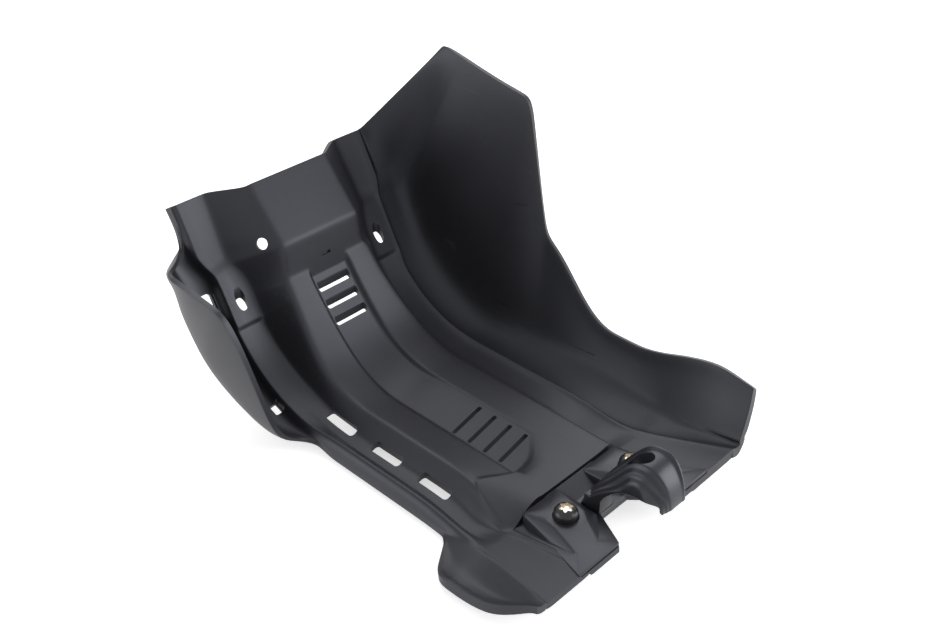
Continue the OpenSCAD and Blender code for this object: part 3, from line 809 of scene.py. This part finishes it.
# bracket, the places of its screws, and what it cuts out of the tub
hook = {
    "offset": -3.0, "top": 72.0, "notchDepth": 28.0, "notchInner": 14.0, "notchOuter": 36.0,
    "baseHalf": 55.0, "waist": -37.5, "seatFront": 63.0, "screwX": 38.5, "screwHalf": 33.0,
    "padTop": 29.0, "padRadius": 12.5, "baseEdge": 0.3, "padEdge": 1.3, "blockEdge": 1.0,
    # share of its width that the foot has on its far side, and the heights over which it widens
    "farShare": 0.52, "legSpan": (16.0, 44.0),
    # posts under the hull of a pad: x, y from the screw, radius, and top from the floor or from the seat
    "floorPosts": ((60.3, 11, 3, -0.4), (60.8, -18, 2.5, -0.5)),
    "seatPosts": ((14, 9, 10, 2), (34, 15, 4, 3.4), (30, -16, 3, 5)),
    # side profile x, z from the foot over the crest to the tip, and the matching points of the tube seat
    "outline": ((45.5, 14), (45, 22), (42, 30), (32, 45.5), (22.5, 58.5), (16.5, 65.5), (10.5, 70), (2, 71.5),
                (-5, 70), (-11, 65), (-15, 58), (-17.3, 50), (-17.5, 45), (-17.5, 43.2)),
    "tubeSeat": ((31, 14), (30.5, 22), (29, 29), (25.5, 35), (20.5, 40.5), (14.5, 44.8), (9, 47.2), (2, 48.2),
                 (-3.5, 48.2), (-8, 48.1), (-11, 47.9), (-12.4, 46.8), (-12.5, 45), (-12.5, 43.2)),
    # y from the hook's middle, and how far the skin falls back from the outline there
    "across": ((-14, 1.4), (-13.2, 0.2), (-11.4, 0.0), (-10.6, 2.0), (-8, 2.2), (-1, 2.0), (4.5, 2.2),
               (6.2, 2.7), (6.9, 5.6), (9.2, 6.6), (9.8, 7.2), (10.4, 10.6), (12.6, 11.8), (13.4, 13.6),
               (14, 14.8)),
    "ovalSize": (19.0, 13.5, 6.74), "ovalX": 9.5, "ovalTurn": 16.0,
    # z, x of the face that slopes from the floor's end to the foot, and x, y of the block under the foot
    "wedge": ((11.8, 63.3), (20.2, 63.3), (20.4, 62.4), (14.8, 50.0), (13.8, 40.0)), "wedgeHalf": 24.0,
    "block": ((28.2, 2), (28.2, 15), (41.5, 15), (41.5, 2)), "blockHeight": 13.0,
}
screwPart = {"headDiameter": 16.0, "domeHeight": 9.2, "domeFoot": 3.4, "collar": 0.4, "shankDiameter": 6.0,
             "shankLength": 14.0, "sunk": 5.0, "recessDepth": 2.2, "recessRadius": 3.9, "lobe": 0.75}


def seatLevel(x):
    return flapLevel(x) - tub["seatDepth"]


def onFlap():
    return Matrix.Translation((flapFront, 0, seatLevel(flapFront))) @ turned(flapAngle, "Y")


def prism(outline, low, high):
    # a straight prism over a flat outline
    bm = bmesh.new()
    bm.faces.new([bm.verts.new((x, y, low)) for x, y in outline])
    extrudeRing(bm, bm.edges[:], high - low)
    return finished(bm)


def notchCutter():
    d, a, b = hook["notchDepth"], hook["notchInner"], hook["notchOuter"]
    outline = [(d, -a), (d, a), (-8, b), (-40, b), (-40, -b), (-8, -b)]
    return place(prism(outline, -1, 60), Matrix.Translation((0, hook["offset"], 0)))


def baseOutline(extra):
    front = (hook["seatFront"] - flapFront) / math.cos(math.radians(flapAngle)) + extra
    rear = -flapFront / math.cos(math.radians(flapAngle)) - 20 * extra
    half, waist = hook["baseHalf"] + extra, (hook["waist"], hook["baseHalf"] - 1.0 + extra)
    left = [(front, half - 1), waist, (rear, half + 11)]
    return left + [(x, -y) for x, y in left[::-1]]


def buildTub():
    body = tubBody()
    print("tub shell made", len(body.data.polygons))
    cutAway(body, "tubCutters", tubCutters())
    cutAway(body, "seatCutter", place(prism(baseOutline(0.3), 0, 12), onFlap()))
    cutAway(body, "notchCutter", notchCutter())
    # shallow moulding marks on the inside of the tall wing, found by looking at it from the middle
    for x, z, length, turn in openings["marks"]:
        hit, spot, normal, index = body.ray_cast(Vector((x, -60.0, z)) * mm, Vector((0, -1, 0)))
        onWing = Matrix.Translation(spot / mm) @ standing(normal) @ turned(turn, "Z")
        size = (openings["markWidth"], length, 0.5)
        cutAway(body, "markCutter", slotCutter(size, openings["markDepth"], 3.0, 0.0, onWing))
    body.name = "skidPlate"
    smoothShade(body, 38)
    return body


def legged(y, z):
    # the foot of the hook is narrower on its far side
    return 14 - (14 - y) * mix(hook["farShare"], 1.0, ramp(z, *hook["legSpan"])) + 2.0 * ramp(z, 40, 16)


def hookBody():
    middle, offset = Vector((6, 0, 36)), hook["offset"]
    outer, inner = [], []
    for (x, z), (u, w) in zip(hook["outline"], hook["tubeSeat"]):
        point, deep = Vector((x, 0, z)), Vector((u, 0, w))
        back, room = (middle - point).normalized(), (deep - point).length
        soft = line(z, 16, 44) * line(x, -19, -12)
        tip = mix(1.0, 0.72, line(x, -6, -17.5))
        outer.append([point + back * min(fall * soft, room - 2.5)
                      + Vector((0, offset + tip * legged(y, z), 0)) for y, fall in hook["across"]])
        inner.append([deep + Vector((0, offset + tip * legged(y, w), 0)) for y, fall in hook["across"]])
    bm, second, cells = gridOf(outer)
    for (i, j), v in cells.items():
        v[second] = inner[i][j]
    body = subdivided(meshObject("hookBody", place(closedShell(bm, second), Matrix())))
    spot = Matrix.Translation((hook["ovalX"], offset - 1, hook["top"] - 14)) @ turned(hook["ovalTurn"], "Y")
    return cutAway(body, "ovalCutter", slotCutter(hook["ovalSize"], 22, 22, 0.0, spot))


def screwPad(side):
    # the outer shape of a pad is the hull of round posts
    bm = bmesh.new()
    h, deck = hook, tub["deckHeight"]
    posts = [(h["screwX"], h["screwHalf"], h["padRadius"], h["padTop"] - 3.6)]
    posts += [(x, h["screwHalf"] + y, radius, deck + top) for x, y, radius, top in h["floorPosts"]]
    posts += [(x, h["screwHalf"] + y, radius, seatLevel(x) + top) for x, y, radius, top in h["seatPosts"]]
    for x, y, radius, top in posts:
        for z in (seatLevel(x) + 1.2, top):
            made = bmesh.ops.create_circle(bm, cap_ends=False, segments=32, radius=radius)["verts"]
            bmesh.ops.translate(bm, vec=(x, side * y, z), verts=made)
    bmesh.ops.delete(bm, geom=bm.edges[:], context="EDGES_FACES")
    bmesh.ops.convex_hull(bm, input=bm.verts[:])
    bmesh.ops.delete(bm, geom=[v for v in bm.verts if not v.link_faces], context="VERTS")
    bmesh.ops.dissolve_limit(bm, angle_limit=math.radians(2.0), verts=bm.verts, edges=bm.edges)
    rounding(bm, hook["padEdge"], 24, 3)
    bmesh.ops.recalc_face_normals(bm, faces=bm.faces)
    return place(bm, Matrix())


def roundPost(diameter, low, x, y, high=60.0):
    bm = bmesh.new()
    bmesh.ops.create_cone(bm, cap_ends=True, segments=48, radius1=diameter / 2, radius2=diameter / 2,
                          depth=high - low)
    return place(bm, Matrix.Translation((x, y, (low + high) / 2)))


def buildHook():
    slab = rounding(prism(baseOutline(0), 0, tub["seatDepth"]), hook["baseEdge"])
    base = meshObject("rearHook", place(slab, onFlap()))
    for side in (-1, 1):
        unite(base, "pad", screwPad(side))
    cutAway(base, "notchCutter", notchCutter())
    upright = Matrix(((0, 1, 0, 0), (0, 0, 1, 0), (1, 0, 0, 0), (0, 0, 0, 1)))
    unite(base, "wedge", place(prism(hook["wedge"], -hook["wedgeHalf"], hook["wedgeHalf"]), upright))
    under = Matrix.Translation((0, hook["offset"], seatLevel(35) + 1.2))
    block = rounding(prism(hook["block"], 0, hook["blockHeight"]), hook["blockEdge"])
    unite(base, "block", place(block, under))
    combine(base, hookBody(), "UNION")
    for side in (-1, 1):
        x, y, floor = hook["screwX"], side * hook["screwHalf"], hook["padTop"] - screwPart["sunk"]
        cutAway(base, "hole", roundPost(screwPart["shankDiameter"] + 0.6, -10, x, y))
        cutAway(base, "bore", roundPost(screwPart["headDiameter"] + 1.4, floor, x, y))
    dropCrumbs(base)
    smoothShade(base, 35)
    return base


def buildScrew(name, side):
    # dome head spun about its axis, with a six-lobe recess and a plain shank
    p = screwPart
    half, high, foot = p["headDiameter"] / 2, p["domeHeight"], p["domeFoot"]
    shank, wide, deep = p["shankDiameter"] / 2, half + p["collar"], p["shankLength"]
    turns = [math.pi / 2 * k / 14 for k in range(15)]
    arc = [(half * math.sin(a) ** 0.8, foot + (high - foot) * math.cos(a) ** 0.75 if k < 14 else foot)
           for k, a in enumerate(turns)]
    outline = arc + [(half, 0.9), (wide, 0.7), (wide, 0.1), (half, 0.0), (shank, 0.0), (shank, 0.6 - deep),
                     (shank - 0.6, -deep), (0.0, -deep)]
    bm = bmesh.new()
    verts = [bm.verts.new((x, 0, z)) for x, z in outline]
    edges = [bm.edges.new(pair) for pair in zip(verts, verts[1:])]
    bmesh.ops.spin(bm, geom=verts + edges, cent=(0, 0, 0), axis=(0, 0, 1), angle=2 * math.pi, steps=64,
                   use_merge=True)
    bmesh.ops.remove_doubles(bm, verts=bm.verts, dist=1e-4)
    bmesh.ops.recalc_face_normals(bm, faces=bm.faces)
    spot = Matrix.Translation((hook["screwX"], side * hook["screwHalf"], hook["padTop"] - p["sunk"]))
    screw = meshObject(name, place(bm, spot))
    recess = bmesh.new()
    made = bmesh.ops.create_circle(recess, cap_ends=False, segments=48, radius=1.0)["verts"]
    for v in made:
        v.co = v.co.normalized() * (p["recessRadius"] + p["lobe"] * math.cos(6 * math.atan2(v.co.y, v.co.x)))
    bmesh.ops.translate(recess, vec=(0, 0, high - p["recessDepth"]), verts=made)
    extrudeRing(recess, recess.edges[:], 6)
    tool = meshObject("recess", place(finished(recess), spot))
    for part in (screw, tool):
        part.data.materials.append(screwBlack)
        part.data.materials.append(screwBright)
    for face in tool.data.polygons:
        face.material_index = 1
    combine(screw, tool, "DIFFERENCE")
    smoothShade(screw, 35)
    return screw


# finishes
moulded = {  # shared by both plastics; a streak has a turn, a stretch, and where it starts and is full
    "scuffAlong": ((0.0, 0.0, 0.5), (26.0, 420.0, 160.0), 0.60, 0.72),
    "scuffAcross": ((0.3, 0.0, -0.7), (380.0, 30.0, 200.0), 0.62, 0.74),
    "patchSteps": (0.48, 0.66), "scuffRough": 0.18, "scuffHeight": 0.4, "grainRough": 0.06,
    "grainDepth": 0.0004, "ior": 1.5, "specular": 0.5}
plateLook = {
    "dark": (0.0125, 0.0124, 0.0155), "light": (0.0185, 0.0185, 0.0230), "scuffColour": (0.050, 0.051, 0.055),
    "cloudScale": 14.0, "grainScale": 1500.0, "patchScale": 24.0, "scuff": 0.35, "rough": 0.45,
    "roughDrift": 0.16, "bump": 0.10, "sheen": (0.88, 0.90, 1.0)}
hookLook = {
    "dark": (0.0140, 0.0140, 0.0170), "light": (0.0210, 0.0211, 0.0250), "scuffColour": (0.050, 0.050, 0.052),
    "cloudScale": 40.0, "grainScale": 1700.0, "patchScale": 60.0, "scuff": 0.25, "rough": 0.36,
    "roughDrift": 0.12, "bump": 0.14, "sheen": (0.86, 0.89, 1.0)}
metal = {"cloudScale": 160.0, "grainScale": 900.0, "grainRough": 0.1, "grainDepth": 0.0002, "bump": 0.15}
blackLook = {"dark": (0.010, 0.010, 0.011), "light": (0.018, 0.018, 0.020), "rough": 0.30, "metallic": 0.0}
brightLook = {"dark": (0.62, 0.52, 0.40), "light": (0.86, 0.80, 0.70), "rough": 0.26, "metallic": 1.0}
blackPlastic = plasticFinish("blackPlastic", {**moulded, **plateLook})
hookPlastic = plasticFinish("hookPlastic", {**moulded, **hookLook})
screwBlack = metalFinish("screwBlack", {**metal, **blackLook})
screwBright = metalFinish("screwBright", {**metal, **brightLook})
print("finishes made")

plate = buildTub()
plate.data.materials.clear()
plate.data.materials.append(blackPlastic)
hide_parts("skid_plate")
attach(plate, "root")
print("skid plate finished")

rearHook = buildHook()
rearHook.data.materials.clear()
rearHook.data.materials.append(hookPlastic)
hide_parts("rear_hook")
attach(rearHook, "root")
print("hook bracket finished")

for name, side in (("left", 1), ("right", -1)):
    screw = buildScrew("screw" + name.title(), side)
    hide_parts("screw_" + name)
    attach(screw, "root")
print("screws finished")
